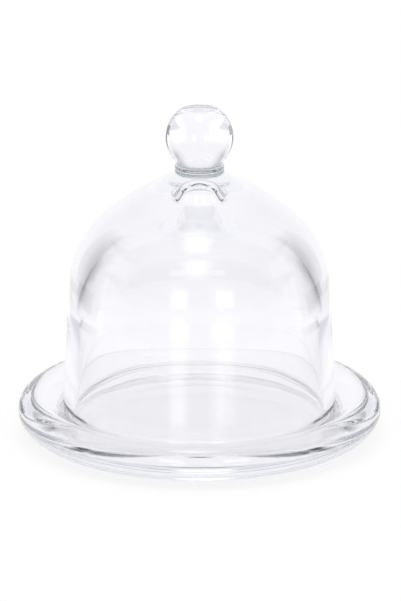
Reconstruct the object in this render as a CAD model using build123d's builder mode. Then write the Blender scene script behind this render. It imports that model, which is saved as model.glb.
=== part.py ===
# Cupcake saver: a clear glass bell with a ball knob, standing in the well of a rolled-rim glass plate.
# Every piece is round about the Z axis, and Z = 0 is the table that the plate stands on.
# Sizes are in millimetres and angles in degrees. A section's first number is a radius, its second a height.
import os
from math import acos, asin, atan2, cos, degrees, hypot, radians, sin, sqrt

from build123d import *

# Bell: outside
bell_lip_diameter = 105.4  # outside of the lip
bell_flare = 3.5  # lean of the wall from upright
bell_wall_length = 48.7  # straight wall, from the lip to the shoulder
shoulder_radius = 36.5
shoulder_turn = 48.0  # how far the wall turns inward over the shoulder
crown_radius = 130.0

# Bell: glass thickness, least at the lip where it was blown out and most at the crown
lip_thickness = 5.0
wall_thickness = 5.2  # half way up the straight wall
shoulder_thickness = 6.8  # where the shoulder starts
turn_thickness = 10.9  # where the shoulder meets the crown
ceiling_thickness = 13.6  # half way over the crown
crown_thickness = 15.9  # from the collar's seat down to the dimple's mouth
lip_round = 2.0

# Bell: dimple pushed up into the crown from inside
dimple_diameter = 16.2
dimple_depth = 7.1
dimple_round = 7.0  # radius of its blunt point
dimple_edge_round = 2.0

# Collar: the wafer of glass between the crown and the knob
collar_face_diameter = 18.2  # the flat faces that the joints are made on
collar_height = 1.4
collar_bulge = 0.3  # how far the collar's edge and the knob's foot swell past those faces

# Knob
ball_diameter = 25.8
ball_rise = 12.4  # from the collar up to the ball's centre
ball_flat_rise = 10.9  # from the ball's centre up to its flattened top
ball_top_round = 2.5
knob_foot_height = 1.7
knob_neck_round = 0.6

# Plate
floor_height = 11.3  # well floor above the table
floor_edge_thickness = 6.6  # under the edge of the well, thinning towards its middle
well_clearance = 1.2  # between the bell's lip and the foot of the rim's slope
well_round = 2.0
rim_slope = 33.0
rim_height = 15.8
rim_round = 6.5  # radius of the roll's top and outer side
foot_inset = 14.0  # from the plate's widest line in to its foot
foot_width = 1.2
foot_round = 1.2
recess_slope = 50.0  # side of the hollow under the floor
recess_round = 5.0
recess_arch = 3.0  # slope of the hollow's arched ceiling at its edge

os.makedirs("parts", exist_ok=True)

lip_radius = bell_lip_diameter / 2
collar_radius = collar_face_diameter / 2
dimple_radius = dimple_diameter / 2
ball_radius = ball_diameter / 2


def inside(edge, share, depth):
    """Point at a depth below the bell's outer skin, at a share of the way along one of its edges."""
    point = edge @ share
    along = edge % share
    return (point.X - depth * along.Y, point.Y + depth * along.X)


# Plate: pressed in one piece, with a flat well, a rolled rim and a hollow underside inside its foot ring
well_radius = lip_radius + well_clearance
rim_rise = rim_height - floor_height - (rim_round + well_round) * (1 - cos(radians(rim_slope)))
recess_edge_rise = recess_round * (cos(radians(recess_arch)) - cos(radians(recess_slope)))
recess_side_rise = (
    floor_height - floor_edge_thickness - foot_round * (1 - cos(radians(recess_slope))) - recess_edge_rise
)

with BuildPart() as plate:
    with BuildSketch(Plane.XZ):
        with BuildLine():
            well = Line((0, floor_height), (well_radius, floor_height))
            well_edge = JernArc(well @ 1, well % 1, well_round, rim_slope)
            slope = PolarLine(well_edge @ 1, rim_rise / sin(radians(rim_slope)), rim_slope)
            roll = JernArc(slope @ 1, slope % 1, rim_round, -90 - rim_slope)
            widest = roll @ 1
            heel_centre = (widest.X - foot_inset, widest.Y)
            EllipticalCenterArc(heel_centre, foot_inset, widest.Y, 270, arc_size=90)
            foot = Line((heel_centre[0], 0), (heel_centre[0] - foot_width, 0))
            foot_edge = JernArc(foot @ 1, foot % 1, foot_round, -recess_slope)
            recess_length = recess_side_rise / sin(radians(recess_slope))
            recess_side = PolarLine(foot_edge @ 1, recess_length, 180 - recess_slope)
            recess_turn = recess_slope - recess_arch
            recess_edge = JernArc(recess_side @ 1, recess_side % 1, recess_round, recess_turn)
            ceiling_radius = (recess_edge @ 1).X / sin(radians(recess_arch))
            ceiling = JernArc(recess_edge @ 1, recess_edge % 1, ceiling_radius, recess_arch)
            Line(ceiling @ 1, (0, floor_height))
        make_face()
    revolve(axis=Axis.Z)

# Bell: blown in one piece, its lip standing on the well floor
crown_start = bell_flare + shoulder_turn
shoulder_end_radius = (
    lip_radius
    - bell_wall_length * sin(radians(bell_flare))
    - shoulder_radius * (cos(radians(bell_flare)) - cos(radians(crown_start)))
)
crown_centre_radius = shoulder_end_radius - crown_radius * cos(radians(crown_start))
crown_turn = degrees(acos((collar_radius - crown_centre_radius) / crown_radius)) - crown_start

with BuildPart() as dome:
    with BuildSketch(Plane.XZ) as dome_section:
        with BuildLine():
            wall = PolarLine((lip_radius, floor_height), bell_wall_length, 90 + bell_flare)
            shoulder = JernArc(wall @ 1, wall % 1, shoulder_radius, shoulder_turn)
            crown = JernArc(shoulder @ 1, shoulder % 1, crown_radius, crown_turn)
            seat = crown @ 1
            mouth = (dimple_radius, seat.Y - crown_thickness)
            point_height = mouth[1] + dimple_depth
            point_centre = (0, point_height - dimple_round)
            mouth_drop = mouth[1] - point_centre[1]
            mouth_bearing = degrees(atan2(mouth_drop, dimple_radius))
            point_start = mouth_bearing + degrees(acos(dimple_round / hypot(mouth_drop, dimple_radius)))
            point = CenterArc(point_centre, dimple_round, point_start, 90 - point_start)
            Line(mouth, point @ 0)
            Line(point @ 1, (0, seat.Y))
            Line((0, seat.Y), seat)
            lip_inside = (lip_radius - lip_thickness, floor_height)
            Spline(
                lip_inside,
                inside(wall, 0.5, wall_thickness),
                inside(wall, 1, shoulder_thickness),
                inside(shoulder, 1, turn_thickness),
                inside(crown, 0.5, ceiling_thickness),
                mouth,
            )
            Line(lip_inside, wall @ 0)
        make_face()
        fillet(dome_section.vertices().group_by(Axis.Y)[0], lip_round)
        fillet(dome_section.vertices().sort_by_distance(mouth)[0], dimple_edge_round)
    revolve(axis=Axis.Z)

# Collar: a wafer of glass, flat where it is joined to the crown below and the knob above
crown_seat = seat.Y
knob_seat = crown_seat + collar_height
collar_side = collar_radius + collar_bulge

with BuildPart() as knob_collar:
    with BuildSketch(Plane.XZ):
        with BuildLine():
            collar_foot = (collar_radius, crown_seat)
            collar_top = (collar_radius, knob_seat)
            ThreePointArc(collar_foot, (collar_side, (crown_seat + knob_seat) / 2), collar_top)
            Polyline(collar_top, (0, knob_seat), (0, crown_seat), collar_foot)
        make_face()
    revolve(axis=Axis.Z)

# Knob: a solid ball with a flattened top, drawn out below into a short foot
ball_centre = knob_seat + ball_rise
foot_top = knob_seat + knob_foot_height
neck_radius = sqrt(ball_radius**2 - (ball_centre - foot_top) ** 2)
neck_angle = -degrees(acos(neck_radius / ball_radius))
flat_angle = degrees(asin(ball_flat_rise / ball_radius))

with BuildPart() as knob:
    with BuildSketch(Plane.XZ) as knob_section:
        with BuildLine():
            knob_foot_base = (collar_radius, knob_seat)
            knob_foot_edge = (collar_radius, foot_top)
            ThreePointArc(knob_foot_base, (collar_side, (knob_seat + foot_top) / 2), knob_foot_edge)
            Line(knob_foot_edge, (neck_radius, foot_top))
            ball = CenterArc((0, ball_centre), ball_radius, neck_angle, flat_angle - neck_angle)
            Polyline(ball @ 1, (0, ball_centre + ball_flat_rise), (0, knob_seat), knob_foot_base)
        make_face()
        fillet(knob_section.vertices().sort_by_distance((neck_radius, foot_top))[0], knob_neck_round)
        fillet(knob_section.vertices().sort_by_distance(ball @ 1)[0], ball_top_round)
    revolve(axis=Axis.Z)

plate.part.label = "plate"
export_step(plate.part, "parts/plate.step")
dome.part.label = "dome"
export_step(dome.part, "parts/dome.step")
knob_collar.part.label = "knob_collar"
export_step(knob_collar.part, "parts/knob_collar.step")
knob.part.label = "knob"
export_step(knob.part, "parts/knob.step")
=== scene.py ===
# Cupcake saver: a clear glass bell with a ball knob, standing in the well of a glass plate.
# Every piece is round about the Z axis and drawn in millimetres. The table and the studio are in metres.
import math

import bpy
import numpy as np
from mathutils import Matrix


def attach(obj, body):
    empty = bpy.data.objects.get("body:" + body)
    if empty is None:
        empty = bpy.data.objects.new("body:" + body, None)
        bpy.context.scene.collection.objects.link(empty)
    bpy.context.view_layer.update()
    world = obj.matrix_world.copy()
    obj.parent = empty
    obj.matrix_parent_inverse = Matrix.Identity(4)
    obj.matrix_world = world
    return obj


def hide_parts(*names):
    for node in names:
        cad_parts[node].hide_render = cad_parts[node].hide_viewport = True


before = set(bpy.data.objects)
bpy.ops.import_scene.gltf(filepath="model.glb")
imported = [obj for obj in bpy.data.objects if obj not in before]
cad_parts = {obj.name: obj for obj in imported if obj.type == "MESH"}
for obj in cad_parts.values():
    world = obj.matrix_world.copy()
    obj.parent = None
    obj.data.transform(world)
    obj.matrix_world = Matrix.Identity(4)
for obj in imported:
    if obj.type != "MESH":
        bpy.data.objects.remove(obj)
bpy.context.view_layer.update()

# Plate: the heavy round base, soda-lime glass pressed in one piece and fire polished. It stands on a
# narrow foot ring, its underside is hollow with an arched ceiling, and its rim is one fat roll.
MM = 0.001
lip_radius = 52.7  # outside of the bell's lip, which stands in the well
floor_height = 11.3  # well floor above the table
floor_edge_thickness = 6.6  # under the edge of the well, thinning towards its middle
well_clearance = 1.2  # between the bell's lip and the foot of the rim's slope
well_round = 2.0
rim_slope = 33.0
rim_height = 15.8
rim_round = 6.5  # radius of the roll's top and outer side
foot_inset = 14.0  # from the plate's widest line in to its foot
foot_width = 1.2
foot_round = 1.2
recess_slope = 50.0  # side of the hollow under the floor
recess_round = 5.0
recess_arch = 3.0  # slope of the hollow's arched ceiling at its edge
heel_steps = 60

scene = bpy.context.scene


def sine(degrees):
    return math.sin(math.radians(degrees))


def cosine(degrees):
    return math.cos(math.radians(degrees))


class Section:
    """Half section of a round piece, drawn as radius and height by straight runs and bends."""

    run_step = 1.0
    bend_step = 0.7
    bend_angle = 2.0

    def __init__(self, radius, height, heading=0.0):
        self.points = [(radius, height)]
        self.heading = heading

    def run(self, length):
        """Goes straight on."""
        r, z = self.points[-1]
        count = max(1, math.ceil(length / self.run_step))
        for i in range(1, count + 1):
            part = length * i / count
            self.points.append((r + part * cosine(self.heading), z + part * sine(self.heading)))
        return self

    def bend(self, radius, angle):
        """Goes round an arc, to the left where the angle is positive."""
        r, z = self.points[-1]
        side = math.copysign(90.0, angle)
        centre_r = r + radius * cosine(self.heading + side)
        centre_z = z + radius * sine(self.heading + side)
        steps_by_angle = math.ceil(abs(angle) / self.bend_angle)
        steps_by_length = math.ceil(radius * math.radians(abs(angle)) / self.bend_step)
        count = max(2, steps_by_angle, steps_by_length)
        for i in range(1, count + 1):
            bearing = self.heading - side + angle * i / count
            self.points.append((centre_r + radius * cosine(bearing), centre_z + radius * sine(bearing)))
        self.heading += angle
        return self

    def follow(self, points):
        """Goes through points that are already worked out."""
        self.points += points
        return self


def feed(tree, node, inputs):
    """Gives each input a value or another node's output; a whole node stands for its first output."""
    for name, value in inputs.items():
        if isinstance(value, bpy.types.Node):
            value = value.outputs[0]
        if isinstance(value, bpy.types.NodeSocket):
            tree.links.new(value, node.inputs[name])
        else:
            node.inputs[name].default_value = value


def put(tree, kind, inputs=None, **settings):
    """Adds a node with its settings and links."""
    node = tree.nodes.new(kind)
    for name, value in settings.items():
        setattr(node, name, value)
    feed(tree, node, inputs or {})
    return node


def lathe_tree():
    """Geometry nodes that turn a section line about Z, ripple its skin a little and give it its glass."""
    tree = bpy.data.node_groups.new("lathe", "GeometryNodeTree")
    out_of_reach = 1.0  # a height in metres that no piece comes near
    for name, kind, usual in (
        ("Section", "NodeSocketGeometry", None),
        ("Segments", "NodeSocketInt", None),
        ("Weld distance", "NodeSocketFloat", 0.01 * MM),
        ("Crease angle", "NodeSocketFloat", math.radians(25.0)),
        ("Ripple depth", "NodeSocketFloat", 0.0),
        ("Ripple length", "NodeSocketFloat", 10.0 * MM),
        ("Ripple fade start", "NodeSocketFloat", out_of_reach),
        ("Ripple fade end", "NodeSocketFloat", 2 * out_of_reach),
        ("Low seam", "NodeSocketFloat", out_of_reach),
        ("High seam", "NodeSocketFloat", out_of_reach),
        ("Glass", "NodeSocketMaterial", None),
        ("Seam glass", "NodeSocketMaterial", None),
    ):
        socket = tree.interface.new_socket(name, in_out="INPUT", socket_type=kind)
        if usual is not None:
            socket.default_value = usual
    tree.interface.new_socket("Piece", in_out="OUTPUT", socket_type="NodeSocketGeometry")
    given = put(tree, "NodeGroupInput").outputs

    # A grid with one row for each point of the section and one column for each step round the axis
    line = given["Section"]
    rows = put(tree, "GeometryNodeAttributeDomainSize", {"Geometry": line}).outputs["Point Count"]
    columns = put(tree, "FunctionNodeIntegerMath", {0: given["Segments"], 1: 1}, operation="ADD")
    skin = put(tree, "GeometryNodeMeshGrid", {"Vertices X": rows, "Vertices Y": columns})
    index = put(tree, "GeometryNodeInputIndex")
    row = put(tree, "FunctionNodeIntegerMath", {0: index, 1: columns}, operation="DIVIDE_FLOOR")
    column = put(tree, "FunctionNodeIntegerMath", {0: index, 1: columns}, operation="MODULO")
    place = put(tree, "GeometryNodeInputPosition")
    drawn = put(
        tree,
        "GeometryNodeSampleIndex",
        {"Geometry": line, "Value": place, "Index": row},
        data_type="FLOAT_VECTOR",
    )
    drawn = put(tree, "ShaderNodeSeparateXYZ", {0: drawn}).outputs
    share = put(tree, "ShaderNodeMath", {0: column, 1: given["Segments"]}, operation="DIVIDE")
    angle = put(tree, "ShaderNodeMath", {0: share, 1: math.tau}, operation="MULTIPLY")
    along_x = put(tree, "ShaderNodeMath", {0: angle}, operation="COSINE")
    along_y = put(tree, "ShaderNodeMath", {0: angle}, operation="SINE")
    x = put(tree, "ShaderNodeMath", {0: drawn["X"], 1: along_x}, operation="MULTIPLY")
    y = put(tree, "ShaderNodeMath", {0: drawn["X"], 1: along_y}, operation="MULTIPLY")
    turned = put(tree, "ShaderNodeCombineXYZ", {"X": x, "Y": y, "Z": drawn["Z"]})
    skin = put(tree, "GeometryNodeSetPosition", {"Geometry": skin, "Position": turned})
    weld = given["Weld distance"]
    skin = put(tree, "GeometryNodeMergeByDistance", {"Geometry": skin, "Distance": weld})

    # Ripples in the skin, cut inwards and fading out with height
    scale = put(tree, "ShaderNodeMath", {0: 1.0, 1: given["Ripple length"]}, operation="DIVIDE")
    noise = put(tree, "ShaderNodeTexNoise", {"Vector": place, "Scale": scale, "Detail": 1.0})
    height = put(tree, "ShaderNodeSeparateXYZ", {0: place}).outputs["Z"]
    fade = put(
        tree,
        "ShaderNodeMapRange",
        {
            "Value": height,
            "From Min": given["Ripple fade start"],
            "From Max": given["Ripple fade end"],
            "To Min": 1.0,
            "To Max": 0.0,
        },
        interpolation_type="SMOOTHSTEP",
    )
    depth = put(tree, "ShaderNodeMath", {0: noise, 1: fade}, operation="MULTIPLY")
    depth = put(tree, "ShaderNodeMath", {0: depth, 1: given["Ripple depth"]}, operation="MULTIPLY")
    inward = put(tree, "ShaderNodeMath", {0: depth, 1: -1.0}, operation="MULTIPLY")
    outward = put(tree, "GeometryNodeInputNormal")
    shift = put(tree, "ShaderNodeVectorMath", {0: outward, "Scale": inward}, operation="SCALE")
    skin = put(tree, "GeometryNodeSetPosition", {"Geometry": skin, "Offset": shift})

    # Smooth all over except at real corners
    skin = put(tree, "GeometryNodeSetShadeSmooth", {"Geometry": skin, "Shade Smooth": True})
    fold = put(tree, "GeometryNodeInputMeshEdgeAngle").outputs["Unsigned Angle"]
    crease = given["Crease angle"]
    corner = put(tree, "FunctionNodeCompare", {0: fold, 1: crease}, operation="GREATER_THAN")
    skin = put(
        tree,
        "GeometryNodeSetShadeSmooth",
        {"Geometry": skin, "Selection": corner, "Shade Smooth": False},
        domain="EDGE",
    )

    # Glass everywhere, and a clear seam on the flat faces that are fused to another piece
    skin = put(tree, "GeometryNodeRealizeInstances", {"Geometry": skin})
    skin = put(tree, "GeometryNodeSetMaterial", {"Geometry": skin, "Material": given["Glass"]})
    for seam in ("Low seam", "High seam"):
        gap = put(tree, "ShaderNodeMath", {0: height, 1: given[seam]}, operation="SUBTRACT")
        gap = put(tree, "ShaderNodeMath", {0: gap}, operation="ABSOLUTE")
        fused = put(tree, "FunctionNodeCompare", {0: gap, 1: weld}, operation="LESS_THAN")
        skin = put(
            tree,
            "GeometryNodeSetMaterial",
            {"Geometry": skin, "Selection": fused, "Material": given["Seam glass"]},
        )
    put(tree, "NodeGroupOutput", {"Piece": skin})
    return tree


lathe = lathe_tree()


def turn(name, section, inputs):
    """Turns a section into a plain mesh piece by the lathe's node tree, with its inputs given by name."""
    line = bpy.data.meshes.new(name + "_section")
    vertices = [(max(r, 0.0) * MM, 0.0, z * MM) for r, z in section.points]
    line.from_pydata(vertices, [(i, i + 1) for i in range(len(vertices) - 1)], [])
    blank = bpy.data.objects.new(name + "_blank", line)
    scene.collection.objects.link(blank)
    modifier = blank.modifiers.new("lathe", "NODES")
    modifier.node_group = lathe
    for item in lathe.interface.items_tree:
        if item.in_out == "INPUT" and item.name in inputs:
            modifier[item.identifier] = inputs[item.name]
    graph = bpy.context.evaluated_depsgraph_get()
    mesh = bpy.data.meshes.new_from_object(blank.evaluated_get(graph), depsgraph=graph)
    bpy.data.objects.remove(blank)
    mesh.name = name
    piece = bpy.data.objects.new(name, mesh)
    scene.collection.objects.link(piece)
    return piece


def linear(code):
    """Linear colour of an sRGB hex value."""
    parts = [int(code[i : i + 2], 16) / 255 for i in (1, 3, 5)]
    return (*[c / 12.92 if c <= 0.04045 else ((c + 0.055) / 1.055) ** 2.4 for c in parts], 1.0)


def soda_lime_glass(name, wave_spacing, wave_detail, wave_twist, wave_strength, tint_density):
    """Clear polished glass with faint waves in its skin, sea grey where the way through it is long."""
    wave_height = 0.02
    material = bpy.data.materials.new(name)
    material.use_nodes = True
    tree = material.node_tree
    waves = put(
        tree,
        "ShaderNodeTexNoise",
        {
            "Vector": put(tree, "ShaderNodeTexCoord").outputs["Object"],
            "Scale": 1 / (wave_spacing * MM),
            "Detail": wave_detail,
            "Distortion": wave_twist,
        },
    )
    skin = put(
        tree,
        "ShaderNodeBump",
        {"Strength": wave_strength, "Distance": wave_height * MM, "Height": waves},
    )
    feed(
        tree,
        tree.nodes["Principled BSDF"],
        {
            "Base Color": linear("#FFFFFF"),
            "Transmission Weight": 1.0,
            "Roughness": 0.0,
            "IOR": 1.52,
            "Normal": skin,
        },
    )
    tint = put(tree, "ShaderNodeVolumeAbsorption", {"Color": linear("#CBD6D8"), "Density": tint_density})
    feed(tree, tree.nodes["Material Output"], {"Volume": tint})
    return material


# Pressed soda-lime glass, fire polished: clear and sharp, with a sea-grey tint where the way through it
# is long, and the faint swirls that the plunger leaves in its skin, about 9 mm apart.
pressed_glass = soda_lime_glass(
    "pressed_soda_lime_glass",
    wave_spacing=9.0,
    wave_detail=2.0,
    wave_twist=0.6,
    wave_strength=0.35,
    tint_density=2.2,
)

rim_rise = rim_height - floor_height - (rim_round + well_round) * (1 - cosine(rim_slope))
recess_edge_rise = recess_round * (cosine(recess_arch) - cosine(recess_slope))
recess_side_rise = floor_height - floor_edge_thickness - foot_round * (1 - cosine(recess_slope))
recess_side_rise -= recess_edge_rise

plate_section = Section(0.0, floor_height).run(lip_radius + well_clearance).bend(well_round, rim_slope)
plate_section.run(rim_rise / sine(rim_slope)).bend(rim_round, -90.0 - rim_slope)
widest_radius, widest_height = plate_section.points[-1]
heel_angles = [90.0 * i / heel_steps for i in range(1, heel_steps + 1)]
plate_section.follow(
    [
        (widest_radius - foot_inset * (1 - cosine(angle)), widest_height * (1 - sine(angle)))
        for angle in heel_angles
    ]
)
plate_section.heading = -180.0
plate_section.run(foot_width).bend(foot_round, -recess_slope)
plate_section.run(recess_side_rise / sine(recess_slope)).bend(recess_round, recess_slope - recess_arch)
plate_section.bend(plate_section.points[-1][0] / sine(recess_arch), recess_arch)

plate = turn(
    "plate_glass",
    plate_section,
    {
        "Segments": 288,
        "Ripple depth": 0.04 * MM,
        "Ripple length": 22.0 * MM,
        "Glass": pressed_glass,
        "Seam glass": pressed_glass,
    },
)
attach(plate, "base")
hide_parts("plate")

# Bell: the cover, soda-lime glass blown in one piece. It is about 5 mm thick at its rounded lip and three
# times that at its crown, which has a dimple pushed up from inside. Its lip rests in the plate's well.
bell_flare = 3.5  # lean of the wall from upright
bell_wall_length = 48.7  # straight wall, from the lip to the shoulder
shoulder_radius = 36.5
shoulder_turn = 48.0  # how far the wall turns inward over the shoulder
crown_radius = 130.0
lip_thickness = 5.0
wall_thickness = 5.2  # half way up the straight wall
shoulder_thickness = 6.8  # where the shoulder starts
turn_thickness = 10.9  # where the shoulder meets the crown
ceiling_thickness = 13.6  # half way over the crown
crown_thickness = 15.9  # from the collar's seat down to the dimple's mouth
lip_round = 2.0
lip_air = 0.06  # keeps the lip's face out of the plane of the well floor
dimple_radius = 8.1
dimple_depth = 7.1
dimple_round = 7.0  # radius of its blunt point
dimple_edge_round = 2.0
collar_radius = 9.1  # flat seat that the collar is joined to
skin_step = 0.9
round_step = 3.0  # degrees between the points of a rounded corner
round_gap = 0.2  # least distance from a rounding to the next point of the skin
fade_start = 80.0  # height where the ripples start to fade out
fade_end = 95.0


def rounded(before, corner, after, radius):
    """Arc that rounds a corner between two straight edges."""
    corner, back, ahead = np.array(corner), np.array(before), np.array(after)
    back = (back - corner) / np.linalg.norm(back - corner)
    ahead = (ahead - corner) / np.linalg.norm(ahead - corner)
    half = math.acos(float(np.clip(back @ ahead, -1, 1))) / 2
    middle = (back + ahead) / np.linalg.norm(back + ahead)
    centre = corner + middle * radius / math.sin(half)
    start = corner + back * radius / math.tan(half) - centre
    end = corner + ahead * radius / math.tan(half) - centre
    first = math.atan2(start[1], start[0])
    swing = (math.atan2(end[1], end[0]) - first + math.pi) % math.tau - math.pi
    count = max(3, math.ceil(math.degrees(abs(swing)) / round_step))
    bearings = [first + swing * i / count for i in range(count + 1)]
    return [
        (float(centre[0] + radius * math.cos(bearing)), float(centre[1] + radius * math.sin(bearing)))
        for bearing in bearings
    ]


def clear_of(points, corner, edge_end):
    """Points that lie further from a corner than the end of its rounding."""
    reach = math.dist(edge_end, corner) + round_gap
    return [point for point in points if math.dist(point, corner) > reach]


def smooth_through(knots, step):
    """Points along a natural cubic curve through the knots, spaced by their distance apart."""
    knots = np.array(knots)
    gaps = np.linalg.norm(np.diff(knots, axis=0), axis=1)
    at = np.concatenate([[0.0], np.cumsum(gaps)])
    count = len(knots)
    matrix = np.eye(count)
    right = np.zeros((count, 2))
    for i in range(1, count - 1):
        matrix[i, i - 1 : i + 2] = gaps[i - 1], 2 * (gaps[i - 1] + gaps[i]), gaps[i]
        right[i] = 6 * ((knots[i + 1] - knots[i]) / gaps[i] - (knots[i] - knots[i - 1]) / gaps[i - 1])
    curve = np.linalg.solve(matrix, right)
    points = []
    for s in np.linspace(0.0, at[-1], math.ceil(at[-1] / step) + 1):
        i = min(int(np.searchsorted(at, s, side="right")) - 1, count - 2)
        h, a, b = gaps[i], at[i + 1] - s, s - at[i]
        point = (curve[i] * a**3 + curve[i + 1] * b**3) / (6 * h)
        point += (knots[i] / h - curve[i] * h / 6) * a + (knots[i + 1] / h - curve[i + 1] * h / 6) * b
        points.append((float(point[0]), float(point[1])))
    return points


def below(point, bearing, depth):
    """Point at a depth inside the outer skin, where the skin faces along the bearing."""
    return (point[0] - depth * cosine(bearing), point[1] - depth * sine(bearing))


# Blown soda-lime glass: clear, with long slow waves from the mould and the blowing, about 30 mm apart.
# Light that is led a long way through it, as in the collar, comes out sea grey.
blown_glass = soda_lime_glass(
    "blown_soda_lime_glass",
    wave_spacing=30.0,
    wave_detail=1.0,
    wave_twist=0.0,
    wave_strength=0.3,
    tint_density=3.5,
)

# Fused seam: two pieces joined hot have glass on both sides of it, so light goes straight through.
fused_seam = bpy.data.materials.new("fused_glass_seam")
fused_seam.use_nodes = True
tree = fused_seam.node_tree
tree.nodes.remove(tree.nodes["Principled BSDF"])
feed(tree, tree.nodes["Material Output"], {"Surface": put(tree, "ShaderNodeBsdfTransparent")})

# Outer skin, from the lip up to the collar's seat
crown_start = bell_flare + shoulder_turn
shoulder_end = lip_radius - bell_wall_length * sine(bell_flare)
shoulder_end -= shoulder_radius * (cosine(bell_flare) - cosine(crown_start))
crown_centre = shoulder_end - crown_radius * cosine(crown_start)
crown_turn = math.degrees(math.acos((collar_radius - crown_centre) / crown_radius)) - crown_start
outside = Section(lip_radius, floor_height, 90.0 + bell_flare)
wall_foot = outside.points[-1]
outside.run(bell_wall_length)
wall_top = outside.points[-1]
outside.bend(shoulder_radius, shoulder_turn)
shoulder_top = outside.points[-1]
outside.bend(crown_radius, crown_turn / 2)
crown_middle = outside.points[-1]
outside.bend(crown_radius, crown_turn / 2)
crown_seat = outside.points[-1][1]

# Inner skin, from the lip up to the dimple's mouth, set in from the outer skin by the glass's thickness
lip_height = floor_height + lip_air
lip_outside = (lip_radius, lip_height)
lip_inside = (lip_radius - lip_thickness, lip_height)
wall_middle = ((wall_foot[0] + wall_top[0]) / 2, (wall_foot[1] + wall_top[1]) / 2)
mouth = (dimple_radius, crown_seat - crown_thickness)
inner_skin = smooth_through(
    [
        lip_inside,
        below(wall_middle, bell_flare, wall_thickness),
        below(wall_top, bell_flare, shoulder_thickness),
        below(shoulder_top, crown_start, turn_thickness),
        below(crown_middle, crown_start + crown_turn / 2, ceiling_thickness),
        mouth,
    ],
    skin_step,
)

# Dimple: a straight flank from its mouth to its blunt point
point_centre = mouth[1] + dimple_depth - dimple_round
mouth_drop = mouth[1] - point_centre
point_start = math.degrees(math.atan2(mouth_drop, dimple_radius))
point_start += math.degrees(math.acos(dimple_round / math.hypot(mouth_drop, dimple_radius)))
flank_end = (dimple_round * cosine(point_start), point_centre + dimple_round * sine(point_start))

# A rounding takes its directions from points a few steps along the skins
mouth_edge = rounded(inner_skin[-3], mouth, flank_end, dimple_edge_round)
lip_outer_edge = rounded(outside.points[3], lip_outside, lip_inside, lip_round)
lip_inner_edge = rounded(lip_outside, lip_inside, inner_skin[3], lip_round)
outer_skin = clear_of(outside.points[-2::-1], lip_outside, lip_outer_edge[0])
inner_skin = clear_of(inner_skin, lip_inside, lip_inner_edge[-1])
inner_skin = clear_of(inner_skin, mouth, mouth_edge[0])

bell_section = Section(0.0, crown_seat).run(collar_radius).follow(outer_skin)
bell_section.follow(lip_outer_edge).follow(lip_inner_edge).follow(inner_skin).follow(mouth_edge)
bell_section.heading = point_start + 90.0
bell_section.run(math.dist(mouth_edge[-1], flank_end)).bend(dimple_round, 90.0 - point_start)

bell = turn(
    "bell_glass",
    bell_section,
    {
        "Segments": 264,
        "Ripple depth": 0.06 * MM,
        "Ripple length": 34.0 * MM,
        "Ripple fade start": fade_start * MM,
        "Ripple fade end": fade_end * MM,
        "High seam": crown_seat * MM,
        "Glass": blown_glass,
        "Seam glass": fused_seam,
    },
)
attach(bell, "cover")
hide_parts("dome")

# Collar: a thin wafer of the same blown glass, fused to the crown below it and to the knob above. It was
# pressed out while hot, until its edge swelled into a round bead.
collar_height = 1.4
collar_bulge = 0.3  # how far the bead stands out past the flat faces


def bead(section, height):
    """A swelling edge that goes down by the height and stands out by the bulge in its middle."""
    radius = ((height / 2) ** 2 + collar_bulge**2) / (2 * collar_bulge)
    half = math.degrees(math.asin(height / 2 / radius))
    section.heading = -90.0 + half
    section.bend(radius, -2 * half)
    section.heading = -180.0
    return section


knob_seat = crown_seat + collar_height
collar_section = bead(Section(0.0, knob_seat).run(collar_radius), collar_height).run(collar_radius)
collar = turn(
    "collar_glass",
    collar_section,
    {
        "Segments": 192,
        "Low seam": crown_seat * MM,
        "High seam": knob_seat * MM,
        "Glass": blown_glass,
        "Seam glass": fused_seam,
    },
)
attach(collar, "cover")
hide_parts("knob_collar")

# Knob: a solid gather of the same glass, shaped hot to a ball with a flattened top and drawn out below
# into a short foot, which is fused to the collar.
ball_radius = 12.9
ball_rise = 12.4  # from the collar up to the ball's centre
ball_flat_rise = 10.899  # from the ball's centre up to its flattened top, a hair under the CAD's
ball_top_round = 2.5
knob_foot_height = 1.7
knob_neck_round = 0.6

top_drop = ball_flat_rise - ball_top_round
flat_radius = math.sqrt((ball_radius - ball_top_round) ** 2 - top_drop**2)
top_angle = math.degrees(math.atan2(top_drop, flat_radius))
neck_drop = ball_rise - knob_foot_height - knob_neck_round
neck_radius = math.sqrt((ball_radius + knob_neck_round) ** 2 - neck_drop**2)
neck_angle = math.degrees(math.atan2(-neck_drop, neck_radius))
knob_section = Section(0.0, knob_seat + ball_rise + ball_flat_rise).run(flat_radius)
knob_section.bend(ball_top_round, top_angle - 90.0).bend(ball_radius, neck_angle - top_angle)
knob_section.bend(knob_neck_round, 90.0 - neck_angle).run(collar_radius - neck_radius)
bead(knob_section, knob_foot_height).run(collar_radius)
knob = turn(
    "knob_glass",
    knob_section,
    {
        "Segments": 256,
        "Low seam": knob_seat * MM,
        "Glass": blown_glass,
        "Seam glass": fused_seam,
    },
)
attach(knob, "cover")
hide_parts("knob")

# Table: a plain white tabletop with a slight gloss. Glass sees it as a glow with a painted shadow that
# makes it dimmer under the object, and the camera sees white with the object's soft shadow.
table_drop = 0.0001  # keeps the table out of the plane of the plate's foot
table_half = 3.0
shadow_start = 0.12  # distance from the object's axis where its soft shadow starts to fade
shadow_end = 0.4
page_near = 0.86  # share of plain white that the camera sees close to the object
page_far = 1.0
shade_start = 0.045  # distance from the axis where the painted shadow under the object starts to fade
shade_end = 0.085
shade_under = 0.9  # brightness of the glow that the glass sees under the object, in its painted shadow
shade_around = 1.12
paper_white = linear("#F7F6FB")


def level(left, right, front, back, height):
    """Edges of a sheet that lies level."""
    return [((left, y, height), (right, y, height)) for y in (front, back)]


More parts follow.
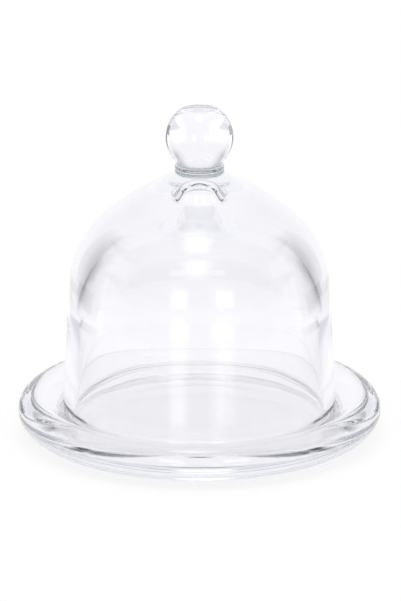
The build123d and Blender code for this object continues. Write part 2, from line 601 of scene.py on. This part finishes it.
def sheet(name, edges, material):
    """A sheet stretched between straight edges."""
    mesh = bpy.data.meshes.new(name)
    faces = [(2 * i, 2 * i + 1, 2 * i + 3, 2 * i + 2) for i in range(len(edges) - 1)]
    mesh.from_pydata([corner for edge in edges for corner in edge], [], faces)
    mesh.materials.append(material)
    stretched = bpy.data.objects.new(name, mesh)
    scene.collection.objects.link(stretched)
    return stretched


# White laminate: matt white under a thin clear gloss that mirrors more at a low angle.
laminate = bpy.data.materials.new("white_laminate")
laminate.use_nodes = True
tree = laminate.node_tree
matt = tree.nodes["Principled BSDF"]
feed(tree, matt, {"Base Color": linear("#FAFAFA"), "Roughness": 0.9})
seen = put(tree, "ShaderNodeLightPath").outputs
place = put(tree, "ShaderNodeTexCoord").outputs["Object"]
flat_place = put(tree, "ShaderNodeVectorMath", {0: place, 1: (1.0, 1.0, 0.0)}, operation="MULTIPLY")
reach = put(tree, "ShaderNodeVectorMath", {0: flat_place}, operation="LENGTH").outputs["Value"]
page_share = put(
    tree,
    "ShaderNodeMapRange",
    {
        "Value": reach,
        "From Min": shadow_start,
        "From Max": shadow_end,
        "To Min": page_near,
        "To Max": page_far,
    },
    interpolation_type="SMOOTHSTEP",
)
page_seen = put(tree, "ShaderNodeMath", {0: seen["Is Camera Ray"], 1: page_share}, operation="MULTIPLY")
page = put(tree, "ShaderNodeEmission", {"Color": linear("#FFFFFF"), "Strength": 1.0})
to_camera = put(tree, "ShaderNodeMixShader", {0: page_seen, 1: matt, 2: page})
# Painted shadow: the glow that the glass sees is dimmer under the object
shade = put(
    tree,
    "ShaderNodeMapRange",
    {
        "Value": reach,
        "From Min": shade_start,
        "From Max": shade_end,
        "To Min": shade_under,
        "To Max": shade_around,
    },
    interpolation_type="SMOOTHSTEP",
)
glow_with_painted_shadow = put(tree, "ShaderNodeEmission", {"Color": paper_white, "Strength": shade})
gloss = put(tree, "ShaderNodeBsdfGlossy", {"Color": linear("#FFFFFF"), "Roughness": 0.1})
mirror = put(tree, "ShaderNodeFresnel", {"IOR": 1.45})
to_glass = put(tree, "ShaderNodeMixShader", {0: mirror, 1: glow_with_painted_shadow, 2: gloss})
by_glass = put(
    tree,
    "ShaderNodeMath",
    {0: seen["Is Transmission Ray"], 1: seen["Is Glossy Ray"]},
    operation="MAXIMUM",
)
surface = put(tree, "ShaderNodeMixShader", {0: by_glass, 1: to_camera, 2: to_glass})
feed(tree, tree.nodes["Material Output"], {"Surface": surface})
table = sheet("table", level(-table_half, table_half, -table_half, table_half, -table_drop), laminate)

# Paper: a white background sheet that stands behind the object and leans over it. It glows evenly along
# the table and in its middle, with painted shade that dims it up its sides. The glass sees it, and the
# camera doesn't.
paper_half = 1.6
paper_place = 1.2  # how far behind the object it stands
paper_top = 1.15
lean_place = 0.1
lean_top = 1.5
paper_strength = 1.05
side_start = 0.35  # distance from the middle where painted shade starts to dim the paper
side_end = 0.95
side_dimming = 0.35
corner_start = 1.05  # distance from the middle where it grows bright again
corner_end = 1.25
dim_bottom = 0.15  # height where the dimming starts
dim_top = 0.6


def panel_light(name, colour, strength):
    """Material of a plain glowing panel; its strength can be linked afterwards."""
    material = bpy.data.materials.new(name)
    material.use_nodes = True
    tree = material.node_tree
    tree.nodes.remove(tree.nodes["Principled BSDF"])
    glow = put(tree, "ShaderNodeEmission", {"Color": colour, "Strength": strength})
    feed(tree, tree.nodes["Material Output"], {"Surface": glow})
    return material


def set_up(name, edges, material, shades=True):
    """Sets up a panel that the glass sees and the camera doesn't."""
    panel = sheet(name, edges, material)
    panel.visible_camera = False
    panel.visible_shadow = shades
    panel.visible_diffuse = shades


# White paper: plain matt white, shown by its own glow, with painted shade up its sides.
white_paper = panel_light("white_paper", paper_white, paper_strength)
tree = white_paper.node_tree
place = put(tree, "ShaderNodeTexCoord").outputs["Object"]
place = put(tree, "ShaderNodeSeparateXYZ", {0: place}).outputs
aside = put(tree, "ShaderNodeMath", {0: place["X"]}, operation="ABSOLUTE")
sideways = put(
    tree,
    "ShaderNodeMapRange",
    {"Value": aside, "From Min": side_start, "From Max": side_end, "To Min": 0.0, "To Max": side_dimming},
    interpolation_type="SMOOTHSTEP",
)
cornerwards = put(
    tree,
    "ShaderNodeMapRange",
    {"Value": aside, "From Min": corner_start, "From Max": corner_end, "To Min": 1.0, "To Max": 0.0},
    interpolation_type="SMOOTHSTEP",
)
upwards = put(
    tree,
    "ShaderNodeMapRange",
    {"Value": place["Z"], "From Min": dim_bottom, "From Max": dim_top, "To Min": 0.0, "To Max": 1.0},
    interpolation_type="SMOOTHSTEP",
)
# Painted shade: the paper's glow dims up its sides and grows bright again near its corners
painted_paper_shade = put(tree, "ShaderNodeMath", {0: sideways, 1: cornerwards}, operation="MULTIPLY")
painted_paper_shade = put(tree, "ShaderNodeMath", {0: painted_paper_shade, 1: upwards}, operation="MULTIPLY")
strength = put(tree, "ShaderNodeMath", {0: paper_strength, 1: painted_paper_shade}, operation="SUBTRACT")
feed(tree, tree.nodes["Emission"], {"Strength": strength})
paper_folds = ((paper_place, 0.0), (paper_place, paper_top), (lean_place, lean_top))
paper_edges = [((-paper_half, y, z), (paper_half, y, z)) for y, z in paper_folds]
set_up("paper_sweep", paper_edges, white_paper)

# Walls, flags and mats: pale walls stand at the sides, with painted shade in front and painted light
# further back. Flags, just out of the picture, are nearly black glowing sheets of painted shade that draw
# the dark arcs at the ball's sides, dark mats further back are painted shade that draws those at its top,
# and grey mats beside the plate are painted shade that tones the wall of the bell.
sides = {"left": -1, "right": 1}
wall_front = -0.5
wall_dim = 0.66
wall_bright = 1.1
wall_dim_place = 0.05  # the walls are dim with painted shade in front of this, and bright with painted light further back
wall_bright_place = 0.3
flag_place = 0.062
flag_near = 0.095  # distance of its edges from the object's axis, to either side
flag_far = 0.33
flag_bottom = 0.035
flag_top = 0.19
mat_near = 0.10
mat_far = 0.28
mat_front = -0.10
mat_back = 0.27
mat_height = 0.002
back_mat_start = 54.0  # degrees round from straight behind the object
back_mat_end = 80.0
back_mat_near = 0.25
back_mat_far = 0.62
back_mat_height = 0.003


def upright(first, last, bottom, top):
    """Edges of a panel that stands upright over a line on the table."""
    return [((*first, height), (*last, height)) for height in (bottom, top)]


def around(azimuth, distance):
    """Point of the table at an azimuth from straight behind the object, right positive."""
    return (distance * sine(azimuth), distance * cosine(azimuth))


def soft_edge(tree, shares):
    """Fades from one in a panel's middle to nothing at its edges, over a share of its half width."""
    across = put(tree, "ShaderNodeTexCoord").outputs["Generated"]
    across = put(tree, "ShaderNodeSeparateXYZ", {0: across}).outputs
    fade = 1.0
    for axis, share in shares.items():
        away = put(tree, "ShaderNodeMath", {0: across[axis], 1: 0.5}, operation="SUBTRACT")
        away = put(tree, "ShaderNodeMath", {0: away}, operation="ABSOLUTE")
        near = put(
            tree,
            "ShaderNodeMapRange",
            {"Value": away, "From Min": 0.5 - share / 2, "From Max": 0.5, "To Min": 1.0, "To Max": 0.0},
            interpolation_type="SMOOTHSTEP",
        )
        fade = put(tree, "ShaderNodeMath", {0: near, 1: fade}, operation="MULTIPLY")
    return fade


def soft_panel(name, colour, strength, **shares):
    """Material of a panel that thins out to nothing towards its edges."""
    material = panel_light(name, colour, strength)
    tree = material.node_tree
    glow = tree.nodes["Emission"]
    clear = put(tree, "ShaderNodeBsdfTransparent")
    thinned = put(tree, "ShaderNodeMixShader", {0: soft_edge(tree, shares), 1: clear, 2: glow})
    feed(tree, tree.nodes["Material Output"], {"Surface": thinned})
    return material


# Pale wall: pale and matt, shown by its own glow, with painted light that makes it brighter towards the
# back.
# Shade mats: glowing sheets of painted shade, pale grey with soft edges, and dark grey. Shade flag: a
# nearly black glow of painted shade, thinning out to its edges.
pale_wall = panel_light("pale_wall", paper_white, wall_bright)
tree = pale_wall.node_tree
place = put(tree, "ShaderNodeTexCoord").outputs["Object"]
place = put(tree, "ShaderNodeSeparateXYZ", {0: place}).outputs
# Painted light and shade: the wall's glow is dim in front and bright further back
strength = put(
    tree,
    "ShaderNodeMapRange",
    {
        "Value": place["Y"],
        "From Min": wall_dim_place,
        "From Max": wall_bright_place,
        "To Min": wall_dim,
        "To Max": wall_bright,
    },
    interpolation_type="SMOOTHSTEP",
)
feed(tree, tree.nodes["Emission"], {"Strength": strength})
painted_shade_grey_mat = soft_panel("painted_shade_grey_mat", linear("#DCDCE2"), 1.0, X=0.4, Y=0.4)
painted_shade_dark_mat = panel_light("painted_shade_dark_mat", linear("#62626A"), 1.0)
painted_shade_flag = soft_panel("painted_shade_flag", linear("#101014"), 1.0, X=0.2, Z=0.8)

for side, way in sides.items():
    wall_back_end = (way * paper_half, paper_place)
    wall_front_end = (way * paper_half, wall_front)
    set_up(side + "_wall", upright(wall_back_end, wall_front_end, 0.0, paper_top), pale_wall)
    flag_inner_end = (way * flag_near, flag_place)
    flag_outer_end = (way * flag_far, flag_place)
    flag_edges = upright(flag_inner_end, flag_outer_end, flag_bottom, flag_top)
    # Painted shade: a nearly black glowing flag that only the glass sees and that casts no shadow
    set_up(side + "_flag", flag_edges, painted_shade_flag, shades=False)
    mat_edges = level(way * mat_near, way * mat_far, mat_front, mat_back, mat_height)
    # Painted shade: a grey glowing mat that only the glass sees, toning the wall of the bell
    set_up(side + "_mat", mat_edges, painted_shade_grey_mat, shades=False)
for side, way in sides.items():
    azimuths = (way * back_mat_start, way * back_mat_end)
    back_mat_edges = [
        [(*around(azimuth, distance), back_mat_height) for azimuth in azimuths]
        for distance in (back_mat_near, back_mat_far)
    ]
    # Painted shade: a dark glowing mat that only the glass sees, drawing the dark arcs at the ball's top
    set_up(side + "_back_mat", back_mat_edges, painted_shade_dark_mat, shades=False)

# Softboxes: two upright ones beside the camera and a wide one overhead, cloth boxes with a lamp inside.
# Their images are the bright shapes on the bell and the ball.
strip_distance = 1.2
strip_bottom = 0.03
strip_top = 0.6
strip_azimuths = {"left": (-172.0, -153.5), "right": (168.0, 148.0)}
overhead_left = -0.34
overhead_right = 0.26
overhead_front = -0.62
overhead_back = 0.14
overhead_height = 1.3

# White softbox cloth: bright in the middle, falling off to its edges.
strip_cloth = soft_panel("strip_softbox", linear("#FFFFFF"), 2.4, X=0.5, Z=0.5)
overhead_cloth = soft_panel("overhead_softbox", linear("#FFFFFF"), 4.5, X=0.9, Y=0.9)
for side, azimuths in strip_azimuths.items():
    first, last = (around(azimuth, strip_distance) for azimuth in azimuths)
    set_up(side + "_softbox", upright(first, last, strip_bottom, strip_top), strip_cloth)
overhead_edges = level(overhead_left, overhead_right, overhead_front, overhead_back, overhead_height)
set_up("overhead_softbox", overhead_edges, overhead_cloth)

# Ceiling light and room: a broad light from above gives the soft shadow on the table, and glass doesn't
# see it. The room around the studio is a dim grey to the glass and white to the camera.
ceiling = bpy.data.lights.new("ceiling_bounce", "AREA")
ceiling.shape = "RECTANGLE"
ceiling.size = 2.4
ceiling.size_y = 2.4
ceiling.energy = 40.0
ceiling_light = bpy.data.objects.new("ceiling_bounce", ceiling)
ceiling_light.location = (0.0, 0.0, 1.6)
ceiling_light.visible_glossy = False
ceiling_light.visible_transmission = False
scene.collection.objects.link(ceiling_light)

room_grey = linear("#9C9BA4")
room = bpy.data.worlds.new("room")
room.use_nodes = True
scene.world = room
tree = room.node_tree
seen = put(tree, "ShaderNodeLightPath").outputs
# Inputs 6 and 7 of a Mix node are its two colours, and output 2 is the mixed one
air = put(
    tree,
    "ShaderNodeMix",
    {0: seen["Is Camera Ray"], 6: room_grey, 7: linear("#FFFFFF")},
    data_type="RGBA",
)
feed(tree, tree.nodes["Background"], {"Color": air.outputs[2]})

# Camera: a long lens from a little above the table, as the photograph was taken.
camera_distance = 1.4
camera_elevation = 17.142
aim_height = 51.93  # millimetres above the table, on the object's axis
frame_height = 601  # pixels, as are the next two
focal_pixels = 3661.3
frame_shift = 1.0
camera = bpy.data.cameras.new("camera")
camera.sensor_width = 36.0
camera.lens = camera.sensor_width * focal_pixels / frame_height
camera.shift_x = frame_shift / frame_height
camera_place = bpy.data.objects.new("camera", camera)
camera_place.location = (
    0.0,
    -camera_distance * cosine(camera_elevation),
    aim_height * MM + camera_distance * sine(camera_elevation),
)
camera_place.rotation_euler = (math.radians(90.0 - camera_elevation), 0.0, 0.0)
scene.collection.objects.link(camera_place)
scene.camera = camera_place
scene.view_settings.view_transform = "Standard"
scene.cycles.max_bounces = 32
scene.cycles.transmission_bounces = 32
scene.cycles.glossy_bounces = 16
scene.cycles.transparent_max_bounces = 32
